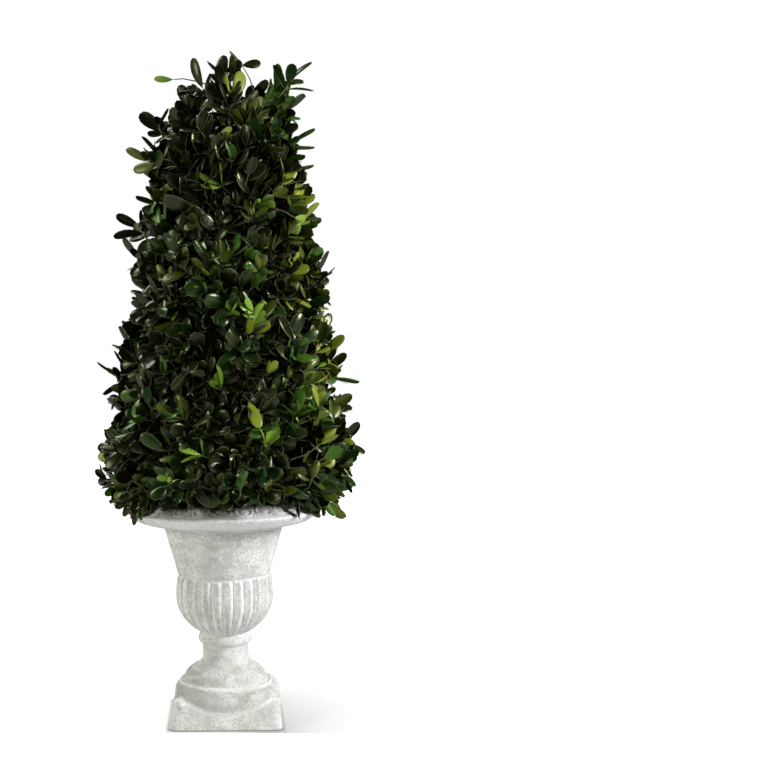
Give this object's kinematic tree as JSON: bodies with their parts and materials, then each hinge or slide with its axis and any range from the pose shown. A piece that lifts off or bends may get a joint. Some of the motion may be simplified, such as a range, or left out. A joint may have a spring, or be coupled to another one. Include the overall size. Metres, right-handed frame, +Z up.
{
  "type": "potted boxwood cone topiary",
  "caption": "Boxwood clipped to a tall tapering cone, in a cement pedestal urn with an ornamented rim, a fluted bowl and a square foot.",
  "frame": {"origin": "centre of the urn's flat underside", "axes": "+Z up along the urn's axis; -Y is the front, square to a side of the foot"},
  "size_m": [0.2264, 0.2124, 0.5601],
  "materials": {
    "cement": "whitewashed cast cement, matt, with a mottled grey ground",
    "soil": "dry crumbly potting soil",
    "bark": "rough grey-brown bark",
    "leaf": "dark green waxy leaves"
  },
  "bodies": {
    "root": {"urn": "cement", "soil": "soil", "main_stem": "bark", "foliage": "leaf"}
  },
  "joints": []
}
